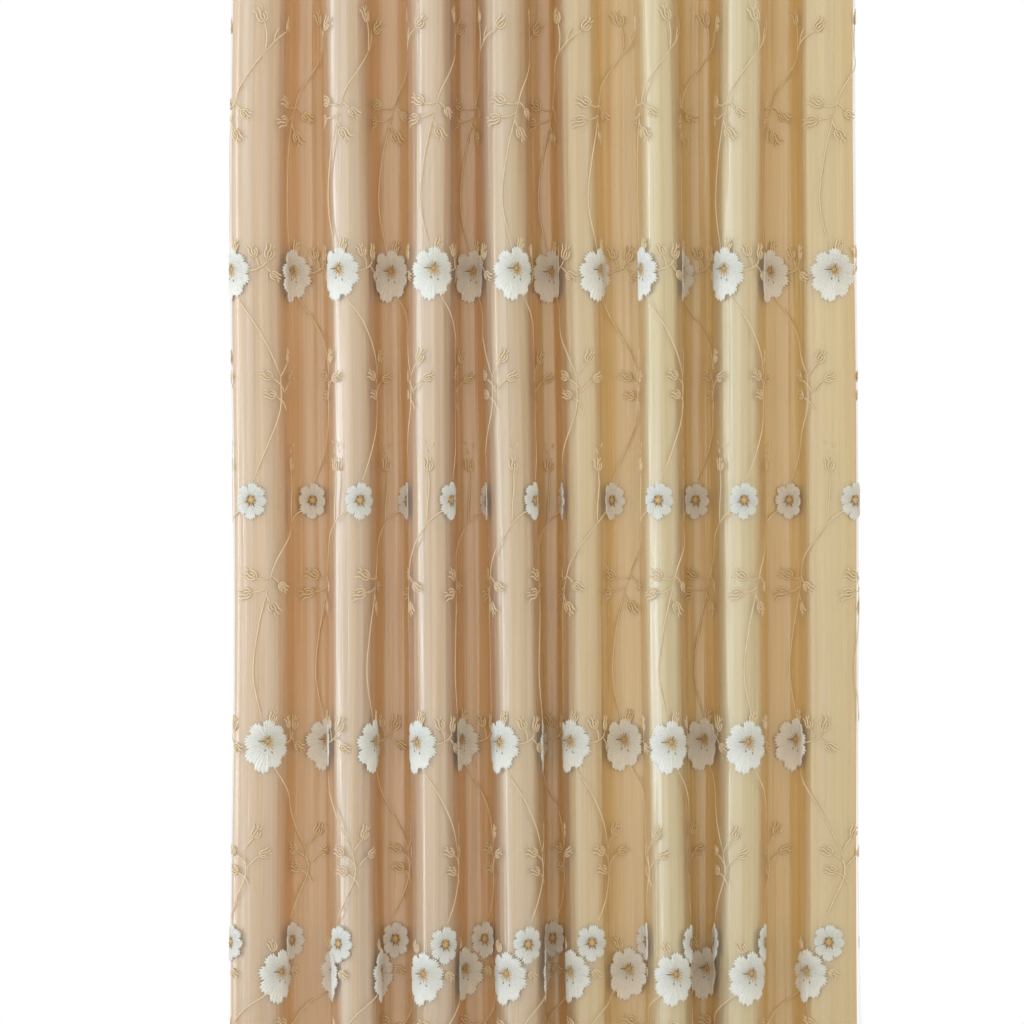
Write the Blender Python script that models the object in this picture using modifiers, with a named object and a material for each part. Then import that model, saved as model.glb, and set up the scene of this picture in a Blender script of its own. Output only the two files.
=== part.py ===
"""A curtain of embroidered sheer voile hung over a satin panel, in soft vertical folds.

Metres, +Z up. The origin is the middle of the top edge, where the curtain is held.
X runs across the curtain, and its face looks towards -Y: the voile is in front, and
the satin hangs just behind it. Both panels hang in the same folds. A fold is a round
tube that stands forward, and between two tubes the cloth goes back into a hollow.
"""

import math
from collections import namedtuple

import bmesh
import bpy

MM = 0.001

# Driving dimensions.
DROP = 2.450            # top edge to hem
EYE_DEPTH = 1.400       # how far below the top edge the fold table was taken
VOILE_THICKNESS = 0.0010
SATIN_THICKNESS = 0.0012
LAYER_GAP = 0.0045      # from the satin to the voile, over the crests and in the hollows
FLANK_GAP = 0.0080      # and at the flanks, where the voile's tubes are the wider ones
EDGE_GAP = 0.0030       # but only this much at the curtain's own two side edges
SIDE_RETURN = 0.045     # each side edge turns back behind its outer tube by this much
RETURN_TUCK = 0.012     # and comes this far inwards as it does
EDGE_FLARE = 0.010      # the voile's right edge stands out this far at the hem instead

# The voile's line: one row for each fold, left to right, in millimetres at EYE_DEPTH.
#   centre  across, from the middle of the curtain
#   width   of the tube, between its two flanks
#   crest   how far the tube stands forward of the curtain's middle plane
#   hollow  how far behind that plane the cloth goes, to the right of the tube
#   lean    sideways, for each metre further down
#   sway    how far the tube wanders to either side on its way down
Fold = namedtuple("Fold", "centre width crest hollow lean sway")
FOLDS = (
    Fold(-454, 92, 28, 32, 0, 3.0),
    Fold(-307, 77, 46, 28, 9, 2.5),
    Fold(-178, 75, 57, 34, 5, 1.5),
    Fold(-52, 80, 51, 46, 18, 1.5),
    Fold(62, 69, 22, 23, 12, 2.0),
    Fold(189, 69, 56, 34, 13, 1.5),
    Fold(313, 80, 48, 32, 0, 2.0),
    Fold(457, 91, 16, 0, 4, 1.5),
)
SWAY_LENGTH = 1.30      # height of one sway from side to side
SWAY_STEP = 1.9         # how the sway differs from fold to fold, in radians

SHORTEST_FLANK = 0.002  # a bend keeps at least this much straight cloth at each end

# Facets.
TUBE_STEPS = 8
HOLLOW_STEPS = 6
RETURN_STEPS = 2
HEIGHT_STEPS = 7


def sideways(index, depth):
    """How far fold number index has moved across at a depth below the top edge."""
    fold = FOLDS[index]
    turn = 2.0 * math.pi * depth / SWAY_LENGTH + SWAY_STEP * index
    return fold.lean * MM * (depth - EYE_DEPTH) + fold.sway * MM * math.sin(turn)


def bend(start, end, reach, steps):
    """Points along one bend of the cloth, between its left and its right flank.

    The bend is half round where it reaches far enough, on straight flanks, and half an
    oval where it doesn't. It goes forward for a negative reach and back for a positive one.
    """
    half_width = (end - start) / 2.0
    cap = min(abs(reach) - SHORTEST_FLANK, half_width)
    points = []
    for step in range(steps + 1):
        angle = math.pi * (step / steps - 0.5)
        across = (start + end) / 2.0 + half_width * math.sin(angle)
        away = abs(reach) - cap + cap * math.cos(angle)
        points.append((across, math.copysign(away, reach)))
    return points


def side_return(flank, tuck):
    """Points from an outer flank to the cloth's side edge behind it."""
    points = []
    for step in range(RETURN_STEPS + 1):
        part = step / RETURN_STEPS
        points.append((flank + tuck * part ** 2, SIDE_RETURN * part))
    return points


def section(depth, layer):
    """The line of a cloth seen from above: layer 0 is the satin, and 1 the voile."""
    flanks = []
    for index, fold in enumerate(FOLDS):
        middle = fold.centre * MM + sideways(index, depth)
        half = fold.width * MM / 2.0
        left_gap = EDGE_GAP if index == 0 else FLANK_GAP
        right_gap = EDGE_GAP if index == len(FOLDS) - 1 else FLANK_GAP
        left = middle - half + left_gap * (1 - layer)
        right = middle + half - right_gap * (1 - layer)
        flanks.append((left, right))

    points = side_return(flanks[0][0], RETURN_TUCK)[:0:-1]
    for index, fold in enumerate(FOLDS):
        start, end = flanks[index]
        reach = -(fold.crest * MM - LAYER_GAP * (1 - layer))
        points += bend(start, end, reach, TUBE_STEPS)
        if index + 1 < len(FOLDS):
            reach = fold.hollow * MM + LAYER_GAP * (1 - layer)
            points += bend(end, flanks[index + 1][0], reach, HOLLOW_STEPS)
    flare = (RETURN_TUCK + EDGE_FLARE) * layer * (depth / DROP) ** 2
    points += side_return(flanks[-1][1], flare - RETURN_TUCK)
    return points


def cloth_material(name, colour, roughness):
    material = bpy.data.materials.new(name)
    material.use_nodes = True
    principled = material.node_tree.nodes["Principled BSDF"]
    principled.inputs["Base Color"].default_value = (*colour, 1.0)
    principled.inputs["Roughness"].default_value = roughness
    principled.inputs["Metallic"].default_value = 0.0
    return material


def add_panel(collection, name, layer, thickness, material):
    """A hanging panel: a flat grid moved into the folds and given its thickness."""
    columns = len(section(0.0, layer)) - 1
    mesh = bpy.data.meshes.new(name)
    sheet = bmesh.new()
    bmesh.ops.create_grid(sheet, x_segments=columns, y_segments=HEIGHT_STEPS, size=0.5)
    for vertex in sheet.verts:
        column = round((vertex.co.x + 0.5) * columns)
        depth = DROP * (0.5 - vertex.co.y)
        across, back = section(depth, layer)[column]
        vertex.co = (across, back, -depth)
    sheet.to_mesh(mesh)
    sheet.free()
    mesh.shade_smooth()
    mesh.materials.append(material)

    panel = bpy.data.objects.new(name, mesh)
    collection.objects.link(panel)
    solidify = panel.modifiers.new("Thickness", "SOLIDIFY")
    solidify.thickness = thickness
    solidify.offset = 0.0
    return panel


def main():
    for old in list(bpy.data.objects):
        bpy.data.objects.remove(old)

    collection = bpy.data.collections.new("voile_curtain")
    bpy.context.scene.collection.children.link(collection)

    satin = cloth_material("champagne_satin", (0.62, 0.46, 0.28), 0.35)
    voile = cloth_material("sheer_voile", (0.80, 0.70, 0.58), 0.60)
    add_panel(collection, "satin_panel", 0, SATIN_THICKNESS, satin)
    add_panel(collection, "voile_panel", 1, VOILE_THICKNESS, voile)


main()
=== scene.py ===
"""An embroidered sheer voile curtain in front of a satin panel.

Metres, +Z up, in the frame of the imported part: the curtain hangs down from z = 0, X runs
across it, and its face looks towards -Y. A place on a cloth is given as across, along the
flat cloth from its left side edge, and depth, down from its top edge.
"""

import math
from collections import namedtuple

import bpy
import numpy as np
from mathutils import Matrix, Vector


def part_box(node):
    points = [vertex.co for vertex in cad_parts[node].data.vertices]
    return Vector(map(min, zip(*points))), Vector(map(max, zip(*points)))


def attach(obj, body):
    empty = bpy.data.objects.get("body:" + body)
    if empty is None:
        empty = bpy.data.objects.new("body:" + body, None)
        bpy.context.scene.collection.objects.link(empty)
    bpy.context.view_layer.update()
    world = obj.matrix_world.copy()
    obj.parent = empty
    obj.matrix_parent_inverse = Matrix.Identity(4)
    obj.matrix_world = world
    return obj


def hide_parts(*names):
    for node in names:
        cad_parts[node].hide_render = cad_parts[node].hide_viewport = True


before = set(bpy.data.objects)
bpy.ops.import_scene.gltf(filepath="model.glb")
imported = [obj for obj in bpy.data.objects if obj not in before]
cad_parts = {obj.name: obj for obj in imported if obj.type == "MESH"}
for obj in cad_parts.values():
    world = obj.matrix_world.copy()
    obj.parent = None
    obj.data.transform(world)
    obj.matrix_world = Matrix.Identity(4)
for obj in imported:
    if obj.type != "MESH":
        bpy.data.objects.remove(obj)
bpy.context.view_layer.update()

MM = 0.001
DROP = -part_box("voile_panel")[0][2]
VIEW_TOP = 0.650        # depth of the top of the view
VIEW_SIZE = 1.638       # width and height of the view, at the curtain

# ---------------------------------------------------------------------------
# Folds: the same table and line as the solids.

EYE_DEPTH = 1.400
LAYER_GAP = 0.0045
FLANK_GAP = 0.0080
EDGE_GAP = 0.0030
SIDE_RETURN = 0.045
RETURN_TUCK = 0.012
EDGE_FLARE = 0.010
SHORTEST_FLANK = 0.002
SWAY_LENGTH = 1.30
SWAY_STEP = 1.9

Fold = namedtuple("Fold", "centre width crest hollow lean sway")
FOLDS = (
    Fold(-454, 92, 28, 32, 0, 3.0),
    Fold(-307, 77, 46, 28, 9, 2.5),
    Fold(-178, 75, 57, 34, 5, 1.5),
    Fold(-52, 80, 51, 46, 18, 1.5),
    Fold(62, 69, 22, 23, 12, 2.0),
    Fold(189, 69, 56, 34, 13, 1.5),
    Fold(313, 80, 48, 32, 0, 2.0),
    Fold(457, 91, 16, 0, 4, 1.5),
)
SATIN, VOILE = 0, 1
FLAT_WIDTH = {SATIN: 1.795, VOILE: 1.800}

BEND_STEPS = 40
FLANK_STEPS = 12
SOFTENING = 6           # passes that ease each line's sharpest changes of bend


def sideways(index, depth):
    fold = FOLDS[index]
    turn = 2.0 * math.pi * depth / SWAY_LENGTH + SWAY_STEP * index
    return fold.lean * MM * (depth - EYE_DEPTH) + fold.sway * MM * math.sin(turn)


def bend(start, end, reach):
    """Points along one bend of the cloth, forward for a negative reach."""
    half_width = (end - start) / 2.0
    cap = min(abs(reach) - SHORTEST_FLANK, half_width)
    angle = np.linspace(-math.pi / 2.0, math.pi / 2.0, BEND_STEPS + 1)
    across = (start + end) / 2.0 + half_width * np.sin(angle)
    away = abs(reach) - cap + cap * np.cos(angle)
    return np.column_stack((across, math.copysign(1.0, reach) * away))


def side_return(flank, tuck):
    part = np.linspace(0.0, 1.0, FLANK_STEPS + 1)
    return np.column_stack((flank + tuck * part ** 2, SIDE_RETURN * part))


def fold_line(depth, layer):
    """The line of a cloth seen from above, at one depth."""
    flanks = []
    for index, fold in enumerate(FOLDS):
        middle = fold.centre * MM + sideways(index, depth)
        half = fold.width * MM / 2.0
        left_gap = EDGE_GAP if index == 0 else FLANK_GAP
        right_gap = EDGE_GAP if index == len(FOLDS) - 1 else FLANK_GAP
        left = middle - half + left_gap * (1 - layer)
        right = middle + half - right_gap * (1 - layer)
        flanks.append((left, right))

    stretches = [side_return(flanks[0][0], RETURN_TUCK)[:0:-1]]
    for index, fold in enumerate(FOLDS):
        start, end = flanks[index]
        stretches.append(bend(start, end, -(fold.crest * MM - LAYER_GAP * (1 - layer))))
        if index + 1 < len(FOLDS):
            reach = fold.hollow * MM + LAYER_GAP * (1 - layer)
            stretches.append(bend(end, flanks[index + 1][0], reach))
    flare = (RETURN_TUCK + EDGE_FLARE) * layer * (depth / DROP) ** 2
    stretches.append(side_return(flanks[-1][1], flare - RETURN_TUCK))
    return np.concatenate(stretches)


def even_points(line, count):
    """count points spaced evenly along a line."""
    steps = np.hypot(*np.diff(line, axis=0).T)
    run = np.concatenate(([0.0], np.cumsum(steps)))
    wanted = np.linspace(0.0, run[-1], count)
    return np.column_stack([np.interp(wanted, run, line[:, axis]) for axis in (0, 1)])


def softened(points, passes):
    """A line with its sharpest changes of bend eased, its ends kept."""
    for _ in range(passes):
        points[1:-1] = (points[:-2] + 2.0 * points[1:-1] + points[2:]) / 4.0
    return points


class Cloth:
    """A hanging cloth: for each place on the flat cut, where it has come to hang."""

    def __init__(self, layer, columns, rows, table):
        self.width = FLAT_WIDTH[layer]
        self.columns = columns
        self.rows = rows
        across = np.linspace(0.0, self.width, columns + 1)
        depths = np.linspace(0.0, DROP, rows + 1)
        self.places = np.empty((rows + 1, columns + 1, 3))
        for row, depth in enumerate(depths):
            line = even_points(fold_line(depth, layer), columns + 1)
            self.places[row, :, :2] = softened(line, SOFTENING)
            self.places[row, :, 2] = -depth
        self.normals = self.facing()
        lift = ripples(table, *np.meshgrid(across, depths))
        self.places += self.normals * lift[:, :, None]
        self.normals = self.facing()

    def facing(self):
        """The direction that the cloth's face looks in, at each place."""
        along = np.gradient(self.places, axis=1)
        down = np.gradient(self.places, axis=0)
        normals = np.cross(down, along)
        return normals / np.linalg.norm(normals, axis=2, keepdims=True)

    def point(self, across, depth, lift):
        """Points of space for places on the cloth, lifted off its face."""
        column = np.clip(across / self.width, 0.0, 1.0) * self.columns
        row = np.clip(depth / DROP, 0.0, 1.0) * self.rows
        left = np.minimum(column.astype(int), self.columns - 1)
        top = np.minimum(row.astype(int), self.rows - 1)
        to_right = (column - left)[:, None]
        to_bottom = (row - top)[:, None]

        def blended(grid):
            upper = grid[top, left] * (1 - to_right) + grid[top, left + 1] * to_right
            lower = grid[top + 1, left] * (1 - to_right) + grid[top + 1, left + 1] * to_right
            return upper * (1 - to_bottom) + lower * to_bottom

        return blended(self.places) + blended(self.normals) * lift[:, None]

    def object(self, name):
        """The cloth as a smooth mesh, with its flat cut in metres as its UV map."""
        count = self.columns + 1
        row, column = np.mgrid[0:self.rows, 0:self.columns]
        corner = (row * count + column).ravel()
        faces = np.column_stack((corner, corner + count, corner + count + 1, corner + 1))
        across, depth = np.meshgrid(
            np.linspace(0.0, self.width, count), np.linspace(0.0, DROP, self.rows + 1)
        )
        flat = np.column_stack((across.ravel(), -depth.ravel()))
        return mesh_object(name, self.places.reshape(-1, 3), faces, flat)


def mesh_object(name, points, faces, flat):
    """A smooth mesh object with a UV map called Flat, from arrays."""
    mesh = bpy.data.meshes.new(name)
    mesh.from_pydata(points.tolist(), [], faces.tolist())
    layer = mesh.uv_layers.new(name="Flat")
    loops = np.empty(len(mesh.loops), dtype=np.int32)
    mesh.loops.foreach_get("vertex_index", loops)
    layer.data.foreach_set("uv", flat[loops].astype(np.float32).ravel())
    mesh.shade_smooth()
    made = bpy.data.objects.new(name, mesh)
    bpy.context.scene.collection.objects.link(made)
    return made


# ---------------------------------------------------------------------------
# Embroidery, drawn flat and then laid on the voile.


class Stitching:
    """Raised stitches: points as across, depth and lift, with a grain for the thread."""

    def __init__(self):
        self.points = []
        self.faces = []
        self.grain = []
        self.count = 0

    def add(self, points, faces, grain):
        self.points.append(points)
        self.faces.append(faces + self.count)
        self.grain.append(grain)
        self.count += len(points)

    def lay_on(self, cloth, name, material):
        flat = np.concatenate(self.points)
        points = cloth.point(flat[:, 0], flat[:, 1], flat[:, 2])
        made = mesh_object(
            name, points, np.concatenate(self.faces), np.concatenate(self.grain)
        )
        made.data.materials.append(material)
        return made


def strip_faces(lengthwise, crosswise, closed=False):
    """Quads between the points of a grid, joined round crosswise if closed."""
    count = crosswise if closed else crosswise - 1
    row, column = np.mgrid[0:lengthwise - 1, 0:count]
    row = row.ravel()
    column = column.ravel()
    following = (column + 1) % crosswise
    return np.column_stack((
        row * crosswise + column,
        row * crosswise + following,
        (row + 1) * crosswise + following,
        (row + 1) * crosswise + column,
    ))


def smooth_path(points, spacing):
    """A smooth curve through points in the plane, with a point about every spacing."""
    points = np.asarray(points, float)
    padded = np.vstack((2 * points[0] - points[1], points, 2 * points[-1] - points[-2]))
    path = []
    for index in range(1, len(padded) - 2):
        before, start, end, after = padded[index - 1:index + 3]
        steps = max(2, int(round(np.linalg.norm(end - start) / spacing)))
        for part in np.arange(steps) / steps:
            path.append(0.5 * (
                2 * start + (end - before) * part
                + (2 * before - 5 * start + 4 * end - after) * part ** 2
                + (3 * start - before - 3 * end + after) * part ** 3
            ))
    path.append(points[-1])
    return np.array(path)


THREAD_CLEAR = 0.0002   # stitches start this far off the cloth
CORD_SECTION = np.array([-1.0, -0.5, 0.5, 1.0])
CORD_LIFT = np.array([0.0, 1.0, 1.0, 0.0])
CORD_HEIGHT = 0.34      # height of a cord, as a share of its width
TAPER_LENGTH = 1.0 / 6.0    # each end tapers over this share of the cord


def cord(stitching, points, width, spacing=0.004, taper=0.35, raised=0.0):
    """A rounded line of stitches through points, tapered at its ends."""
    path = smooth_path(points, spacing)
    along = np.gradient(path, axis=0)
    along /= np.maximum(np.linalg.norm(along, axis=1, keepdims=True), 1e-9)
    side = np.column_stack((-along[:, 1], along[:, 0]))
    part = np.linspace(0.0, 1.0, len(path))
    from_end = np.minimum(part, 1.0 - part)
    fullness = taper + (1.0 - taper) * np.minimum(1.0, from_end / TAPER_LENGTH)
    beside = CORD_SECTION[None, :] * (width / 2.0 * fullness)[:, None]
    flat = path[:, None, :] + side[:, None, :] * beside[:, :, None]
    height = CORD_LIFT[None, :] * (CORD_HEIGHT * width * fullness)[:, None]
    shape = np.dstack((flat, height + THREAD_CLEAR + raised)).reshape(-1, 3)
    run = np.concatenate(([0.0], np.cumsum(np.linalg.norm(np.diff(path, axis=0), axis=1))))
    grain = np.column_stack((
        np.repeat(run, len(CORD_SECTION)),
        np.tile(CORD_SECTION * width, len(path)),
    ))
    stitching.add(shape, strip_faces(len(path), len(CORD_SECTION), closed=True), grain)


def placed(at, x, y):
    """The place that is x millimetres across and y millimetres down from another."""
    return (at[0] + x * MM, at[1] + y * MM)


def shifted(at, points):
    return [placed(at, x, y) for x, y in points]


def turned(points, at, heading):
    """Points drawn pointing up the cloth, turned clockwise by heading and moved to at."""
    angle = math.radians(heading)
    cos = math.cos(angle)
    sin = math.sin(angle)
    return [
        (at[0] + x * cos + y * sin, at[1] + x * sin - y * cos) for x, y in points
    ]


# Strokes of an open bud, from its foot: across and up, as shares of its length.
BUD_STROKES = (
    ((-0.02, 0.00), (-0.22, 0.14), (-0.30, 0.42), (-0.26, 0.66), (-0.40, 0.94)),
    ((0.02, 0.00), (0.22, 0.10), (0.32, 0.34), (0.28, 0.62)),
    ((-0.02, 0.08), (-0.10, 0.36), (0.00, 0.70), (-0.08, 1.00)),
    ((0.04, 0.10), (0.14, 0.32), (0.10, 0.54)),
)
LOOSE_STROKE = ((0.12, 0.68), (0.24, 0.98))
BUD_HALF_WIDTH = 0.4    # as a share of its length
STROKE = 0.0029         # width of a bud's strokes
LOOSE = 0.85 * STROKE   # width of its loose one
STROKE_SPACING = 0.0045


def bud(stitching, at, heading, length):
    """An open bud: curved strokes that spread towards their ends, and a loose one."""
    for stroke in (*BUD_STROKES, LOOSE_STROKE):
        drawn = [(x * length, y * length) for x, y in stroke]
        width = LOOSE if stroke is LOOSE_STROKE else STROKE
        cord(stitching, turned(drawn, at, heading), width, spacing=STROKE_SPACING, taper=0.6)


Petal = namedtuple("Petal", "heading reach spread")
LARGE_PETALS = (
    Petal(5, 35, 23), Petal(46, 33, 22), Petal(86, 35, 22), Petal(124, 39, 21),
    Petal(159, 45, 19), Petal(192, 52, 19), Petal(227, 45, 20), Petal(268, 39, 23),
    Petal(315, 36, 24),
)
SMALL_PETALS = (
    Petal(8, 27, 24), Petal(52, 27, 23), Petal(95, 26, 23), Petal(140, 28, 23),
    Petal(184, 30, 23), Petal(228, 28, 23), Petal(272, 26, 23), Petal(318, 27, 24),
)

# A petal's reach, as shares of its table value: in the middle, and what its sides lose.
LOBE_MIDDLE = 1.03
LOBE_ROUNDING = 0.10
LOBE_CORNER = 0.14


def outline(petals, headings):
    """How far the flower reaches at each heading, and how deep in a petal that is."""
    best = np.zeros_like(headings)
    inside = np.zeros_like(headings)
    for petal in petals:
        off = (headings - petal.heading + 180.0) % 360.0 - 180.0
        share = np.abs(off) / petal.spread
        lobe = LOBE_MIDDLE - LOBE_ROUNDING * share ** 2 - LOBE_CORNER * share ** 6
        lobe *= petal.reach * MM
        better = lobe > best
        best = np.where(better, lobe, best)
        inside = np.where(better, 1.0 - np.minimum(share, 1.0), inside)
    return best, inside


# Stamens, drawn from start to end in millimetres from the heart, some in dark thread.
Stamen = namedtuple("Stamen", "heading start end width dark")
LARGE_STAMENS = (
    Stamen(270, 5, 16, 2.4, True), Stamen(292, 3, 12, 2.2, False), Stamen(322, 3, 10, 2.2, False),
    Stamen(350, 3, 11, 2.2, False), Stamen(20, 5, 11, 2.2, True), Stamen(48, 3, 11, 2.2, False),
    Stamen(76, 3, 12, 2.2, False), Stamen(104, 4, 11, 2.0, False), Stamen(130, 3, 14, 2.2, False),
    Stamen(150, 4, 16, 2.2, False), Stamen(160, 17, 21, 2.3, True), Stamen(174, 4, 14, 2.2, False),
    Stamen(196, 13, 18, 2.3, True), Stamen(204, 3, 12, 2.2, False), Stamen(238, 3, 11, 2.2, False),
)
SMALL_STAMENS = (
    Stamen(12, 4, 9, 1.8, False), Stamen(40, 4, 10, 2.0, True), Stamen(70, 4, 9, 1.8, False),
    Stamen(98, 4, 9, 1.8, True), Stamen(126, 4, 10, 1.8, False), Stamen(152, 4, 13, 2.0, True),
    Stamen(176, 4, 11, 1.8, False), Stamen(203, 4, 12, 2.0, True), Stamen(228, 4, 10, 1.8, False),
    Stamen(252, 5, 12, 2.2, True), Stamen(284, 4, 10, 1.8, False), Stamen(318, 4, 9, 2.0, True),
    Stamen(344, 4, 8, 1.8, False),
)

# A blossom: its petals start at gap from its middle, round an oval patch of heart thread.
Blossom = namedtuple("Blossom", "petals stamens gap tall patch_wide patch_tall half_width")
LARGE = Blossom(LARGE_PETALS, LARGE_STAMENS, 0.0045, 1.00, 0.0040, 0.0040, 0.036)
SMALL = Blossom(SMALL_PETALS, SMALL_STAMENS, 0.0060, 1.10, 0.0054, 0.0068, 0.028)

# From the middle of a blossom or patch to its edge: share of the way, and share of its height.
Ring = namedtuple("Ring", "share rise")
PETAL_RINGS = (
    Ring(0.0, 0.0), Ring(0.05, 0.60), Ring(0.16, 0.85), Ring(0.34, 1.0), Ring(0.54, 1.0),
    Ring(0.72, 1.0), Ring(0.87, 0.90), Ring(0.96, 0.65), Ring(1.0, 0.0),
)
PATCH_RINGS = (Ring(0.02, 1.0), Ring(0.6, 0.9), Ring(1.0, 0.0))

PETAL_HEIGHT = 0.0021
PATCH_HEIGHT = 0.0014
STAMEN_RAISED = 0.0015
PATCH_SIDES = 20
STITCHES_EACH = 5       # stitched ridges from the heart of a flower to each petal's edge
RIDGE = np.array([1.0, 0.4, 0.0, 0.4])     # across one ridge: 1 in the groove, 0 on top
GROOVE_FRAY = 2.6       # millimetres that the edge drops back in a groove, to twice that
EDGE_FRAY = 1.6         # millimetres that it varies by from ridge to ridge, at most
HEART_FRAY = 0.35       # how far the ridges' inner ends vary, as a share of the gap
CREASE = 0.25           # width of the crease between petals, as a share of a petal's half
SUNK = 0.40             # depth of creases and grooves, as a share of the petals' height
PETAL_GRAIN = 0.035     # radius at which the petals' grain is true to size
PATCH_GRAIN = 0.010     # and the same for the patches


def grown(at, angle, radius_across, radius_down, lift):
    """A ring of points round a place, angles clockwise from straight up the cloth."""
    return np.column_stack((
        at[0] + radius_across * np.sin(angle),
        at[1] - radius_down * np.cos(angle),
        lift,
    ))


def add_rings(stitching, shapes, grain):
    faces = strip_faces(len(shapes), len(shapes[0]), closed=True)
    stitching.add(np.concatenate(shapes), faces[:, ::-1], np.concatenate(grain))


def petals(stitching, blossom, at):
    """White satin stitch, raised petal by petal round an open heart."""
    ridges = len(blossom.petals) * STITCHES_EACH
    around = ridges * len(RIDGE)
    headings = np.arange(around) * 360.0 / around
    angle = np.radians(headings)
    reach, inside = outline(blossom.petals, headings)
    crease = 1.0 - np.minimum(1.0, inside / CREASE)
    groove = np.tile(RIDGE, ridges)
    draws = np.random.default_rng(ridges).uniform(0.0, 1.0, (2, ridges))
    stout, ragged = draws.repeat(len(RIDGE), axis=1)
    fray = GROOVE_FRAY * (1.0 + stout) * groove + EDGE_FRAY * ragged
    shapes = []
    grain = []
    for share, rise in PETAL_RINGS:
        edge = reach - fray * MM * share ** 5
        loose = HEART_FRAY * ragged * (1.0 - groove) * (1.0 - share) ** 6
        inner = blossom.gap * (1.0 + loose)
        radius = inner + (edge - inner) * share
        sunk = SUNK * (crease * min(1.0, 1.5 * share) + groove * min(1.0, 0.4 + share))
        lift = THREAD_CLEAR + PETAL_HEIGHT * rise * (1.0 - sunk) * (0.85 + 0.3 * stout)
        shapes.append(grown(at, angle, radius, radius * blossom.tall, lift))
        grain.append(np.column_stack((angle * PETAL_GRAIN, radius)))
    add_rings(stitching, shapes, grain)


def patch(stitching, blossom, at):
    """A small flat oval of stitches in the heart of a blossom."""
    angle = np.arange(PATCH_SIDES) * 2.0 * math.pi / PATCH_SIDES
    shapes = []
    grain = []
    for share, rise in PATCH_RINGS:
        lift = np.full(PATCH_SIDES, THREAD_CLEAR + PATCH_HEIGHT * rise)
        wide = blossom.patch_wide * share
        tall = blossom.patch_tall * share
        shapes.append(grown(at, angle, wide, tall, lift))
        out = np.full(PATCH_SIDES, PATCH_GRAIN * share)
        grain.append(np.column_stack((angle * PATCH_GRAIN, out)))
    add_rings(stitching, shapes, grain)


def stamens(kit, table, at):
    for stamen in table:
        reach = [(0.0, stamen.start * MM), (0.0, stamen.end * MM)]
        threads = kit["dark"] if stamen.dark else kit["hearts"]
        points = turned(reach, at, stamen.heading)
        cord(threads, points, stamen.width * MM, taper=0.5, raised=STAMEN_RAISED)


# The motifs stand in columns across the cloth. Each row has a depth, and stands so many
# millimetres to the right of the place where its columns start.
COLUMN_START = 0.0465
COLUMN_STEP = 0.127
COLUMNS = range(-2, 15)

Row = namedtuple("Row", "motif depth shift")
ROWS = (
    Row("spread_twigs", 0.060, -167),
    Row("spread_twigs", 0.330, -43),
    Row("budded_twigs", 0.506, 44),
    Row("bud_fork", 0.698, -11),
    Row("spread_twigs", 0.829, -111),
    Row("large_flower", 1.082, 13),
    Row("side_twigs", 1.252, 100),
    Row("flower_fork", 1.450, 45),
    Row("spread_twigs", 1.583, -55),
    Row("large_flower", 1.834, 69),
    Row("low_twigs", 2.010, 156),
    Row("border", 2.202, 84),
    Row("spread_twigs", 2.300, -10),
)

# The pieces that the stems are made in, each for the rows above its depth.
VINES = (("upper_vines", 0.950), ("middle_vines", 1.720), ("lower_vines", DROP))

# How far the cloth has crept round its folds, to the right, for each column from the
# first, in millimetres: nothing down to the first depth, then a table at each of the others.
CREEP_DEPTHS = (1.500, 1.834, 2.180)
CREEP_LARGE = (3, 2, 9, 38, 40, 32, 22, 12, -3, -5, -11, -18, -12, -10)
CREEP_BORDER = (16, 15, 24, 36, 33, 29, 12, -4, -12, -14, -22, -26, 8, 8)


def creep(column, depth):
    column = min(max(column, 0), len(CREEP_LARGE) - 1)
    reached = (0.0, CREEP_LARGE[column], CREEP_BORDER[column])
    return MM * float(np.interp(depth, CREEP_DEPTHS, reached))


STEM = 0.0025           # widths of the stems and of the twigs off them
TWIG = 0.0023
EDGE_CLEAR = 0.012      # no stitches nearer to the cloth's sides, top and bottom
TOP_CLEAR = 0.010
BOTTOM_CLEAR = 0.090


class Pen:
    """Draws on the cloth only: what would cross one of its edges is left out."""

    def __init__(self, stitching, width):
        self.stitching = stitching
        self.low = EDGE_CLEAR
        self.high = width - EDGE_CLEAR

    def holds(self, points):
        return all(
            self.low < x < self.high and TOP_CLEAR < y < DROP - BOTTOM_CLEAR for x, y in points
        )

    def stem(self, points, width=STEM):
        if self.holds(points):
            cord(self.stitching, points, width)

    def bud(self, at, heading, length):
        corners = [(-BUD_HALF_WIDTH * length, 0), (BUD_HALF_WIDTH * length, length)]
        if self.holds(turned(corners, at, heading)):
            bud(self.stitching, at, heading, length)

    def blossom(self, kit, blossom, at):
        half = blossom.half_width
        if self.holds([(at[0] - half, at[1]), (at[0] + half, at[1])]):
            petals(kit["petals"], blossom, at)
            patch(kit["hearts"], blossom, at)
            stamens(kit, blossom.stamens, at)


# What a motif is made of, all in millimetres from its place. A twig ends in a bud with this
# heading and length, or in none if the length is 0. A link is the long stem to the motif under
# it, bowed sideways near each end; its end counts from that motif where to_across or to_depth
# says so, and from its own motif otherwise.
Twig = namedtuple("Twig", "path heading length")
Bud = namedtuple("Bud", "x y heading length")
Flower = namedtuple("Flower", "blossom kit x y")
Link = namedtuple("Link", "start end to_across to_depth bow_start bow_end")
Motif = namedtuple("Motif", "link flowers twigs stems buds stitches", defaults=((),) * 5)

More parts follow.
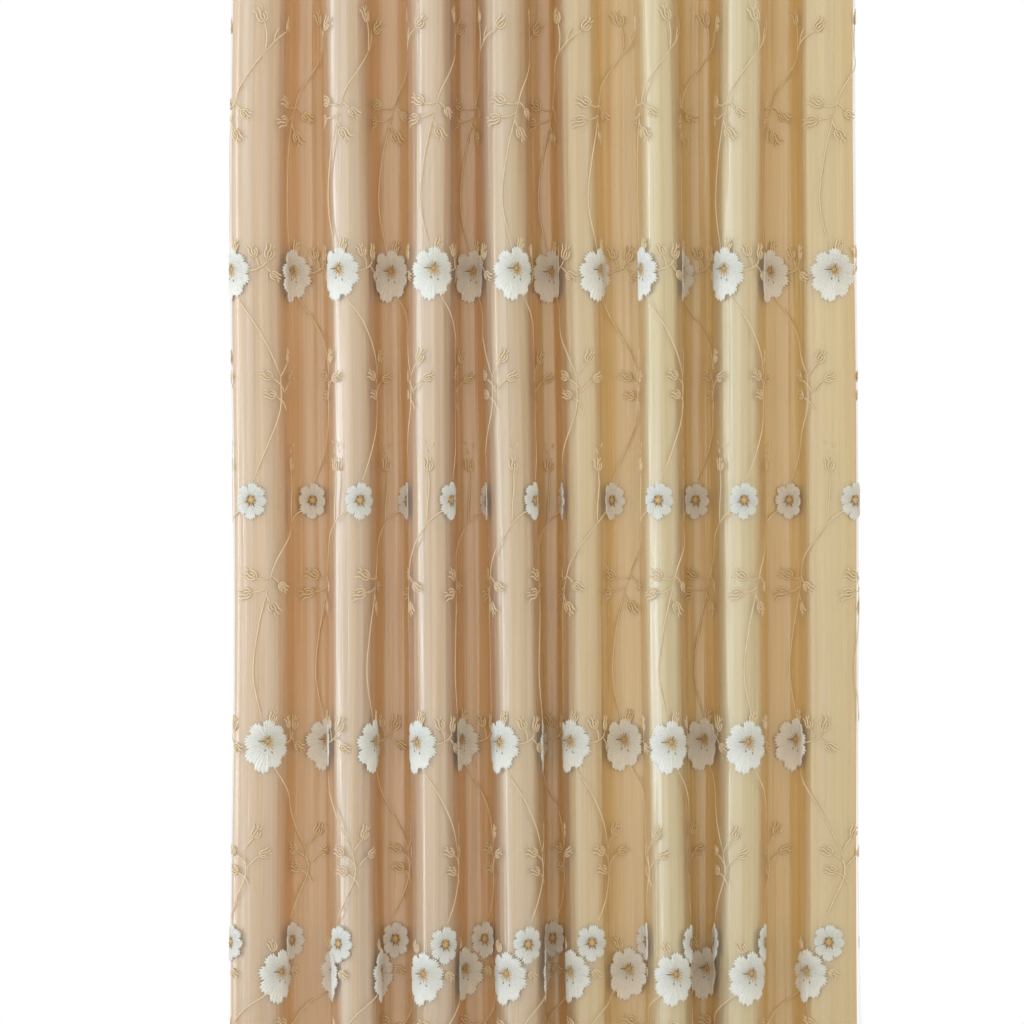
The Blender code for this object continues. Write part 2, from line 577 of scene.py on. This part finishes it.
SIDE_TWIGS = (
    Twig(((4, 28), (-5, 13), (-19, 4)), 298, 22),
    Twig(((7, 54), (-1, 41), (-13, 33)), 290, 21),
    Twig(((-3, 0), (6, -14), (13, -22)), 24, 22),
    Twig(((4, 24), (15, 12), (23, 6)), 66, 19),
)
SPREAD_TWIGS = (
    Twig(((3, -10), (-8, -7), (-20, -9)), 298, 25),
    Twig(((-1, 5), (-14, 12), (-28, 14)), 258, 25),
    Twig(((4, -12), (12, -6), (17, 0)), 128, 20),
    Twig(((-5, 16), (-1, 24), (2, 30)), 146, 24),
)
SPRAY_TWIGS = (
    Twig(((30, 4), (46, 0), (58, -7), (63, -16)), 16, 25),
    Twig(((48, -1), (47, -12), (43, -20)), 338, 21),
    Twig(((56, -5), (63, 0), (68, 6)), 122, 20),
)
FORK_FOOT = (-45, 37)
FORK_LINK = Link(FORK_FOOT, (0, 0), True, True, -6, -8)

MOTIFS = {
    "large_flower": Motif(
        Link((10, 42), (-4, 0), True, True, 6, 5),
        flowers=(Flower(LARGE, "large_row", 0, 0),),
        twigs=SPRAY_TWIGS,
        buds=(Bud(6, -31, 16, 18),),
    ),
    "side_twigs": Motif(Link((-4, -2), (4, -32), True, True, 14, 8), twigs=SIDE_TWIGS),
    "low_twigs": Motif(Link((-4, -2), (-32, 111), False, False, 14, 8), twigs=SIDE_TWIGS),
    "budded_twigs": Motif(
        Link((-4, -2), (6, 96), False, False, 14, 8),
        twigs=SIDE_TWIGS,
        buds=(Bud(6, 96, 350, 20),),
    ),
    "flower_fork": Motif(
        FORK_LINK,
        flowers=(Flower(SMALL, "small_row", 0, 0),),
        stems=(
            (FORK_FOOT, (-44, 8), (-41, -22), (-42, -47)),
            (FORK_FOOT, (-30, 23), (-12, 14)),
        ),
        buds=(Bud(-42, -47, 358, 21),),
        stitches=(Bud(-43, -74, 340, 9), Bud(-37, -84, 24, 9), Bud(-46, -90, 318, 8)),
    ),
    "bud_fork": Motif(
        FORK_LINK,
        twigs=(Twig(((-32, 23), (-28, 8), (-22, -2)), 0, 0),),
        stems=((FORK_FOOT, (-43, 12), (-47, -10)), (FORK_FOOT, (-25, 16), (-5, 2))),
        buds=(Bud(-47, -10, 336, 26), Bud(-5, 2, 38, 24)),
    ),
    "spread_twigs": Motif(
        Link((0, 0), (-10, -32), False, True, -14, -18),
        twigs=SPREAD_TWIGS,
    ),
    "border": Motif(
        Link((27, -17), (0, 0), True, True, 6, -8),
        flowers=(Flower(LARGE, "border_row", 0, 0), Flower(SMALL, "border_row", 37, -47)),
        buds=(Bud(-12, -34, 330, 20), Bud(38, -2, 130, 18)),
    ),
}


def draw_link(pen, link, at, under):
    start = np.array(placed(at, *link.start))
    base = (under[0] if link.to_across else at[0], under[1] if link.to_depth else at[1])
    end = np.array(placed(base, *link.end))
    third = (end - start) / 3.0
    pen.stem([
        tuple(start),
        tuple(start + third + np.array([link.bow_start * MM, 0.0])),
        tuple(start + 2 * third + np.array([link.bow_end * MM, 0.0])),
        tuple(end),
    ])


def draw_motif(pen, kits, motif, at, under):
    """One motif of a row, and the stem from it to the motif under it."""
    for flower in motif.flowers:
        pen.blossom(kits[flower.kit], flower.blossom, placed(at, flower.x, flower.y))
    for twig in motif.twigs:
        path = shifted(at, twig.path)
        pen.stem(path, TWIG)
        if twig.length:
            pen.bud(path[-1], twig.heading, twig.length * MM)
    for path in motif.stems:
        pen.stem(shifted(at, path))
    for bud_at in motif.buds:
        pen.bud(placed(at, bud_at.x, bud_at.y), bud_at.heading, bud_at.length * MM)
    for stitch in motif.stitches:
        line = ((0.0, 0.0), (0.0, stitch.length * MM))
        pen.stem(turned(line, placed(at, stitch.x, stitch.y), stitch.heading), TWIG)
    if under != at:
        draw_link(pen, motif.link, at, under)


def embroider(cloth):
    """All stitches of the voile, in lots that each become one piece."""
    kits = {
        name: {part: Stitching() for part in ("petals", "hearts", "dark")}
        for name in ("large_row", "small_row", "border_row")
    }
    vines = {name: Stitching() for name, _ in VINES}
    for index, row in enumerate(ROWS):
        vine = next(vines[name] for name, limit in VINES if row.depth < limit)
        pen = Pen(vine, cloth.width)
        below = ROWS[index + 1] if index + 1 < len(ROWS) else row
        for column in COLUMNS:
            foot = COLUMN_START + column * COLUMN_STEP
            at = (foot + row.shift * MM + creep(column, row.depth), row.depth)
            under = (foot + below.shift * MM + creep(column, below.depth), below.depth)
            draw_motif(pen, kits, MOTIFS[row.motif], at, under)
    return kits, vines


# ---------------------------------------------------------------------------
# Materials.


class Nodes:
    """Adds nodes to a material or a world and joins them, with fewer words."""

    def __init__(self, owner, shader):
        owner.use_nodes = True
        self.owner = owner
        self.tree = owner.node_tree
        self.shader = self.tree.nodes[shader]
        self.coordinates = self.add("ShaderNodeTexCoord").outputs

    def set(self, **values):
        for name, value in values.items():
            self.shader.inputs[name.replace("_", " ")].default_value = value

    def put(self, socket, value):
        """Joins an output to a socket, or sets the socket to a number or colour."""
        if isinstance(value, bpy.types.NodeSocket):
            self.tree.links.new(value, socket)
        else:
            socket.default_value = value

    def add(self, kind, inputs=None, **settings):
        node = self.tree.nodes.new(kind)
        for name, value in settings.items():
            setattr(node, name, value)
        for name, value in (inputs or {}).items():
            self.put(node.inputs[name], value)
        return node

    def math(self, operation, *values):
        inputs = dict(enumerate(values))
        return self.add("ShaderNodeMath", inputs, operation=operation).outputs[0]

    def between(self, value, start, end, low=0.0, high=1.0):
        """A number that goes smoothly from low to high while value goes from start to end."""
        return self.add("ShaderNodeMapRange", {
            "Value": value, "From Min": start, "From Max": end, "To Min": low, "To Max": high,
        }, interpolation_type="SMOOTHSTEP").outputs["Result"]

    def noise(self, coordinates, scale, detail=1.0, roughness=0.5):
        scaled = self.add("ShaderNodeMapping", {"Vector": coordinates, "Scale": scale})
        return self.add("ShaderNodeTexNoise", {
            "Vector": scaled.outputs["Vector"], "Scale": 1.0,
            "Detail": detail, "Roughness": roughness,
        }).outputs["Fac"]

    def bands(self, coordinates, pitch, direction, distortion=0.0):
        """Even bands, pitch apart along a direction, from 0 between them to 1 on them."""
        return self.add("ShaderNodeTexWave", {
            "Vector": coordinates, "Scale": math.pi / 10.0 / pitch,
            "Distortion": distortion, "Detail": 0.0,
        }, wave_type="BANDS", bands_direction=direction).outputs["Fac"]

    def ramp(self, factor, *stops):
        """A colour ramp, from (position, colour) stops."""
        node = self.add("ShaderNodeValToRGB", {"Fac": factor})
        elements = node.color_ramp.elements
        while len(elements) < len(stops):
            elements.new(1.0)
        for element, (position, colour) in zip(elements, stops):
            element.position = position
            element.color = (*colour, 1.0)
        return node.outputs["Color"]

    def mix(self, factor, first, second, blend="MIX"):
        node = self.add("ShaderNodeMix", {0: factor}, data_type="RGBA", blend_type=blend)
        for socket, colour in ((node.inputs[6], first), (node.inputs[7], second)):
            self.put(socket, (*colour, 1.0) if isinstance(colour, tuple) else colour)
        return node.outputs[2]

    def join(self, output, name):
        self.tree.links.new(output, self.shader.inputs[name])

    def bump(self, height, strength, distance):
        inputs = {"Height": height, "Strength": strength, "Distance": distance}
        self.join(self.add("ShaderNodeBump", inputs).outputs["Normal"], "Normal")


def new_material(name):
    return Nodes(bpy.data.materials.new(name), "Principled BSDF")


def grey(value):
    return (value, value, value)


CREST_Y = -0.040        # how far the crests stand forward, and the hollows back
HOLLOW_Y = 0.030


def hollowness(nodes, on_crest=0.0, in_hollow=1.0):
    """A factor that goes from one value on the crests to another in the hollows, for painted light
    and shade.
    """
    place = nodes.add("ShaderNodeSeparateXYZ", {"Vector": nodes.coordinates["Object"]})
    return nodes.between(place.outputs["Y"], CREST_Y, HOLLOW_Y, on_crest, in_hollow)


def painted_bounce_tint(nodes, colour, warm):
    """A colour with a painted warm tint in the hollows, standing in for light thrown there off the
    satin.
    """
    return nodes.mix(hollowness(nodes), colour, nodes.mix(1.0, colour, warm, "MULTIPLY"))


# The satin's ground and its paler stripes, pinker to the left of the middle than to its right:
# this shift is a painted tint of the light, more golden to the right, and the paler stripes are a
# painted sheen.
PINK_SIDE = -0.15
GOLD_SIDE = 0.20
SATIN_GROUND = ((0.58, 0.32, 0.105), (0.62, 0.43, 0.105))
SATIN_PAINTED_SHEEN = ((0.63, 0.445, 0.32), (0.65, 0.51, 0.27))
# painted bounce light: the warm tint of the satin in its hollows
SATIN_PAINTED_BOUNCE = (1.16, 0.97, 0.62)
# Painted sheen: how much of the pale stripes shows on the crests and in the hollows.
PAINTED_SHEEN_ON_CREST = 0.64
PAINTED_SHEEN_IN_HOLLOW = 0.36


def satin_material():
    nodes = new_material("champagne_satin")
    flat = nodes.coordinates["UV"]
    threads = nodes.noise(flat, (900.0, 5.0, 1.0))
    streaks = nodes.noise(flat, (150.0, 2.0, 1.0), detail=2.0, roughness=0.6)
    stripes = nodes.noise(flat, (75.0, 0.7, 1.0))

    place = nodes.add("ShaderNodeSeparateXYZ", {"Vector": nodes.coordinates["Object"]})
    # painted light: the satin's colours go from pink on the left to gold on the right
    rightward = nodes.between(place.outputs["X"], PINK_SIDE, GOLD_SIDE)
    ground = nodes.mix(rightward, *SATIN_GROUND)
    pale = nodes.mix(rightward, *SATIN_PAINTED_SHEEN)
    # painted sheen: pale stripes, stronger on the crests than in the hollows
    share = nodes.ramp(stripes, (0.42, grey(0.40)), (0.58, grey(1.0)))
    share = nodes.math("MULTIPLY", share, hollowness(nodes, PAINTED_SHEEN_ON_CREST, PAINTED_SHEEN_IN_HOLLOW))
    # painted bounce light: the satin turns warmer in the hollows
    tone = painted_bounce_tint(nodes, nodes.mix(share, ground, pale), SATIN_PAINTED_BOUNCE)
    shade = nodes.ramp(streaks, (0.32, grey(0.32)), (0.68, grey(0.68)))
    nodes.join(nodes.mix(0.24, tone, shade, "OVERLAY"), "Base Color")

    nodes.join(nodes.math("MULTIPLY_ADD", streaks, 0.12, 0.24), "Roughness")
    height = nodes.math("ADD", nodes.math("MULTIPLY", threads, 0.20), streaks)
    nodes.bump(height, 0.80, 0.0016)
    nodes.set(IOR=2.5, Coat_Weight=0.40, Coat_Roughness=0.12, Coat_IOR=1.6)
    return nodes.owner


VOILE_TONES = ((0.80, 0.74, 0.69), (0.87, 0.82, 0.77))
# painted bounce light: the warm tint of the voile in the hollows
VOILE_PAINTED_BOUNCE = (0.98, 0.82, 0.62)
VOILE_SHEEN = (1.0, 0.86, 0.80, 1.0)
WEAVE_PITCH = 0.0007
OPEN_COVER = 0.04       # how much the voile hides between its threads,
STREAK_COVER = 0.24     # how much more where its threads lie close,
THREAD_COVER = 0.05     # and how much more on each thread


def voile_material():
    nodes = new_material("sheer_voile")
    flat = nodes.coordinates["UV"]
    cloudy = nodes.noise(flat, (30.0, 2.0, 1.0))
    streaks = nodes.noise(flat, (320.0, 3.0, 1.0))
    down = nodes.bands(flat, WEAVE_PITCH, "X")
    across = nodes.bands(flat, WEAVE_PITCH, "Y")
    threads = nodes.math("MAXIMUM", down, across)
    tone = nodes.ramp(cloudy, (0.3, VOILE_TONES[0]), (0.7, VOILE_TONES[1]))
    # painted bounce light: the voile turns warmer in the hollows
    nodes.join(painted_bounce_tint(nodes, tone, VOILE_PAINTED_BOUNCE), "Base Color")
    cover = nodes.math("MULTIPLY_ADD", streaks, STREAK_COVER, OPEN_COVER)
    nodes.join(nodes.math("MULTIPLY_ADD", threads, THREAD_COVER, cover), "Alpha")
    nodes.set(Roughness=0.42, IOR=1.6, Sheen_Weight=0.55, Sheen_Roughness=0.25)
    nodes.set(Sheen_Tint=VOILE_SHEEN)
    return nodes.owner


# Embroidery threads: their colours, and the pitch and strength of their fine stitches. Dark is
# painted shade between the stitches, mixed with random unevenness, and warm is a painted tint of
# light off the satin in the hollows.
Thread = namedtuple("Thread", "name light dark warm roughness pitch strength")
WHITE = Thread(
    "white_thread", light=(0.98, 0.965, 0.94), dark=(0.82, 0.80, 0.77),
    warm=(1.02, 0.90, 0.79), roughness=0.50, pitch=0.0012, strength=0.7,
)
GOLD = Thread(
    "gold_thread", light=(0.93, 0.75, 0.53), dark=(0.74, 0.54, 0.32),
    warm=(1.06, 0.98, 0.80), roughness=0.36, pitch=0.0013, strength=0.5,
)
HEART = Thread(
    "heart_thread", light=(0.84, 0.58, 0.28), dark=(0.60, 0.37, 0.15),
    warm=(1.0, 0.92, 0.78), roughness=0.45, pitch=0.0013, strength=0.5,
)
BROWN = Thread(
    "brown_thread", light=(0.44, 0.27, 0.12), dark=(0.28, 0.16, 0.07),
    warm=(1.0, 0.95, 0.85), roughness=0.50, pitch=0.0013, strength=0.5,
)


def thread_material(thread):
    """Embroidery thread: fine rounded stitches across the grain of each motif, with painted shade
    between them.
    """
    nodes = new_material(thread.name)
    stitches = nodes.bands(nodes.coordinates["UV"], thread.pitch, "X", distortion=2.0)
    uneven = nodes.noise(nodes.coordinates["Object"], (260.0, 260.0, 260.0))
    # painted shade: darker between the stitches, with random unevenness
    shade = nodes.math("MULTIPLY_ADD", stitches, 0.45, nodes.math("MULTIPLY", uneven, 0.55))
    tone = nodes.ramp(shade, (0.22, thread.dark), (0.68, thread.light))
    # painted bounce light: the thread turns warmer in the hollows
    nodes.join(painted_bounce_tint(nodes, tone, thread.warm), "Base Color")
    nodes.bump(nodes.math("ADD", stitches, uneven), thread.strength, 0.0006)
    nodes.set(Roughness=thread.roughness, Sheen_Weight=0.2, Sheen_Roughness=0.4)
    return nodes.owner


def floor_material():
    nodes = new_material("pale_floor")
    speckle = nodes.noise(nodes.coordinates["Object"], (40.0, 40.0, 40.0), detail=4.0)
    nodes.join(nodes.ramp(speckle, (0.3, grey(0.78)), (0.7, grey(0.82))), "Base Color")
    nodes.set(Roughness=0.7)
    return nodes.owner


# ---------------------------------------------------------------------------
# The pieces.


Ripple = namedtuple("Ripple", "length size drift turn")
SATIN_RIPPLES = (
    Ripple(0.0170, 0.00038, 0.8, 0.4), Ripple(0.0230, 0.00055, 0.7, 2.9),
    Ripple(0.0350, 0.00080, 1.0, 4.6), Ripple(0.0570, 0.00090, 0.8, 1.7),
)
VOILE_RIPPLES = (
    Ripple(0.0210, 0.00015, 0.9, 3.4), Ripple(0.0310, 0.00025, 1.2, 0.8),
    Ripple(0.0470, 0.00040, 1.0, 5.2),
)

# How ripples wander and swell, in radians to a metre down or across the cloth.
SLOW_DOWN = 2.6
QUICK_DOWN = 9.3
QUICK_ACROSS = 5.0
SWELL_DOWN = 2.1
SWELL_ACROSS = 5.3


def ripples(table, across, depth):
    """Small uneven ripples that run down a cloth, as a lift off its smooth shape."""
    quick = 0.4 * np.sin(QUICK_DOWN * depth + QUICK_ACROSS * across)
    lift = np.zeros_like(across)
    for ripple in table:
        wander = ripple.drift * (np.sin(SLOW_DOWN * depth + ripple.turn) + quick)
        swell = np.sin(SWELL_DOWN * depth + 2.0 * ripple.turn + SWELL_ACROSS * across)
        wave = np.sin(2 * math.pi * across / ripple.length + wander + ripple.turn)
        lift += ripple.size * (0.6 + 0.4 * swell) * wave
    return lift


VOILE_GRID = (520, 158)     # columns and rows of the visual cloths
SATIN_GRID = (520, 140)


def build():
    voile = Cloth(VOILE, *VOILE_GRID, VOILE_RIPPLES)
    satin = Cloth(SATIN, *SATIN_GRID, SATIN_RIPPLES)
    voile_piece = voile.object("voile")
    voile_piece.data.materials.append(voile_material())
    satin_piece = satin.object("satin")
    satin_piece.data.materials.append(satin_material())

    white = thread_material(WHITE)
    gold = thread_material(GOLD)
    heart = thread_material(HEART)
    brown = thread_material(BROWN)

    kits, vines = embroider(voile)
    stitched = []
    for name, kit in kits.items():
        for part, material, slot in (
            ("petals", white, "white_thread"),
            ("hearts", heart, "gold_thread"),
            ("dark", brown, "gold_thread"),
        ):
            piece = kit[part].lay_on(voile, f"{name}_{part}", material)
            stitched.append(piece)
    for name, stitching in vines.items():
        piece = stitching.lay_on(voile, name, gold)
        stitched.append(piece)

    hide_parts("voile_panel")
    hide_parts("satin_panel")
    for piece in (voile_piece, satin_piece, *stitched):
        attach(piece, "root")


# ---------------------------------------------------------------------------
# Floor, light and camera.


VIEW_MIDDLE = -(VIEW_TOP + VIEW_SIZE / 2.0)
CAMERA_X = -0.051
CAMERA_DISTANCE = 6.0
SENSOR = 36.0           # in millimetres, as the lens is
FLOOR_SIZE = 4.0
FLOOR_AHEAD = 0.9       # the floor's middle is this far in front of the curtain
FLOOR_GAP = 0.02        # and its top is this far under the hem

# Strips of light at the view's middle height, turned to face the curtain there.
Strip = namedtuple("Strip", "name x y width height power colour")
STRIPS = (
    Strip("left_strip", -2.9, -0.75, 0.20, 3.2, 24.0, (0.86, 0.96, 1.06)),
    Strip("front_strip", -1.5, -4.0, 0.22, 3.2, 22.0, (0.38, 0.23, 0.15)),
)

# Light that comes from each side, in degrees to the left of the front.
Sky = namedtuple("Sky", "heading colour")
SKIES = (
    Sky(-180, (0.40, 0.40, 0.40)), Sky(-110, (1.00, 0.90, 0.74)), Sky(-55, (0.86, 0.84, 0.72)),
    Sky(-15, (0.90, 0.90, 0.78)), Sky(25, (0.95, 1.07, 1.02)), Sky(55, (0.97, 1.10, 1.14)),
    Sky(100, (0.97, 1.08, 1.12)), Sky(180, (0.40, 0.40, 0.40)),
)
SKY_STRENGTH = 1.5      # a ramp's colours stay under 1, so the strength makes up the rest


def strip_light(strip):
    data = bpy.data.lights.new(strip.name, "AREA")
    data.shape = "RECTANGLE"
    data.size = strip.width
    data.size_y = strip.height
    data.energy = strip.power
    data.color = strip.colour
    lamp = bpy.data.objects.new(strip.name, data)
    place = Vector((strip.x, strip.y, VIEW_MIDDLE))
    target = Vector((0.0, 0.0, VIEW_MIDDLE))
    lamp.location = place
    lamp.rotation_euler = (target - place).to_track_quat("-Z", "Y").to_euler()
    bpy.context.scene.collection.objects.link(lamp)


def studio_world():
    """Soft light whose colour turns with its heading, and a white backdrop to the eye."""
    nodes = Nodes(bpy.data.worlds.new("studio"), "Background")
    bpy.context.scene.world = nodes.owner
    direction = nodes.coordinates["Generated"]
    reverse = nodes.add("ShaderNodeVectorMath", {0: direction, "Scale": -1.0}, operation="SCALE")
    parts = nodes.add("ShaderNodeSeparateXYZ", {"Vector": reverse.outputs["Vector"]}).outputs
    heading = nodes.math("ARCTAN2", parts["X"], parts["Y"])
    share = nodes.add("ShaderNodeMapRange", {
        "Value": heading, "From Min": -math.pi, "From Max": math.pi,
    }).outputs["Result"]
    ring = nodes.ramp(share, *(
        ((sky.heading + 180.0) / 360.0, [level / SKY_STRENGTH for level in sky.colour])
        for sky in SKIES
    ))
    to_eye = nodes.add("ShaderNodeLightPath").outputs["Is Camera Ray"]
    nodes.join(nodes.mix(to_eye, ring, grey(1.0 / SKY_STRENGTH)), "Color")
    nodes.set(Strength=SKY_STRENGTH)


def studio_floor():
    place = (0.0, -FLOOR_AHEAD, -DROP - FLOOR_GAP)
    bpy.ops.mesh.primitive_plane_add(size=FLOOR_SIZE, location=place)
    floor = bpy.context.object
    floor.name = "floor"
    floor.data.materials.append(floor_material())


def studio_camera():
    camera_data = bpy.data.cameras.new("camera")
    camera_data.sensor_width = SENSOR
    camera_data.lens = SENSOR * CAMERA_DISTANCE / VIEW_SIZE
    camera = bpy.data.objects.new("camera", camera_data)
    camera.location = (CAMERA_X, -CAMERA_DISTANCE, VIEW_MIDDLE)
    camera.rotation_euler = (math.radians(90.0), 0.0, 0.0)
    bpy.context.scene.collection.objects.link(camera)
    bpy.context.scene.camera = camera
    bpy.context.scene.view_settings.view_transform = "Standard"


build()
studio_floor()
studio_world()
for strip in STRIPS:
    strip_light(strip)
studio_camera()
